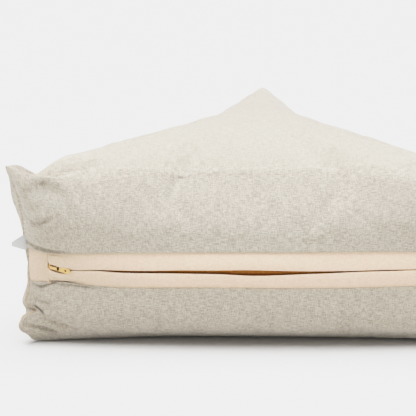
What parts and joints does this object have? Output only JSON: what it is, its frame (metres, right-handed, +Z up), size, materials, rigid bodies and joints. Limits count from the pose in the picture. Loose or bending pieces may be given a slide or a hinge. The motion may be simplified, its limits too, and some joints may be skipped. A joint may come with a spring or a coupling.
{
  "type": "zafu meditation cushion",
  "caption": "Three-cornered filled floor cushion for sitting, with pointed corners and a zip under two cloth flaps across its front wall.",
  "frame": {"origin": "under the middle of the cushion, on the floor it lies on", "axes": "+Z up out of the crown, -Y out of the wall that holds the zip, +X to the right when looking at the zip"},
  "size_m": [0.4146, 0.3718, 0.178],
  "materials": {
    "chambray": "plain woven grey-beige cotton and linen cloth",
    "calico": "plain woven ecru cotton",
    "zip_tape": "woven tape",
    "zip_brass": "polished",
    "ribbon": "smooth woven ribbon"
  },
  "bodies": {
    "root": {"cushion_body": "chambray", "placket_upper": "calico", "placket_lower": "calico", "placket_end_left": "calico", "placket_end_right": "calico", "zip_tape": "zip_tape", "zip_teeth": "zip_brass", "zip_slider": "zip_brass", "zip_pull": "zip_brass", "label": "ribbon"}
  },
  "joints": []
}
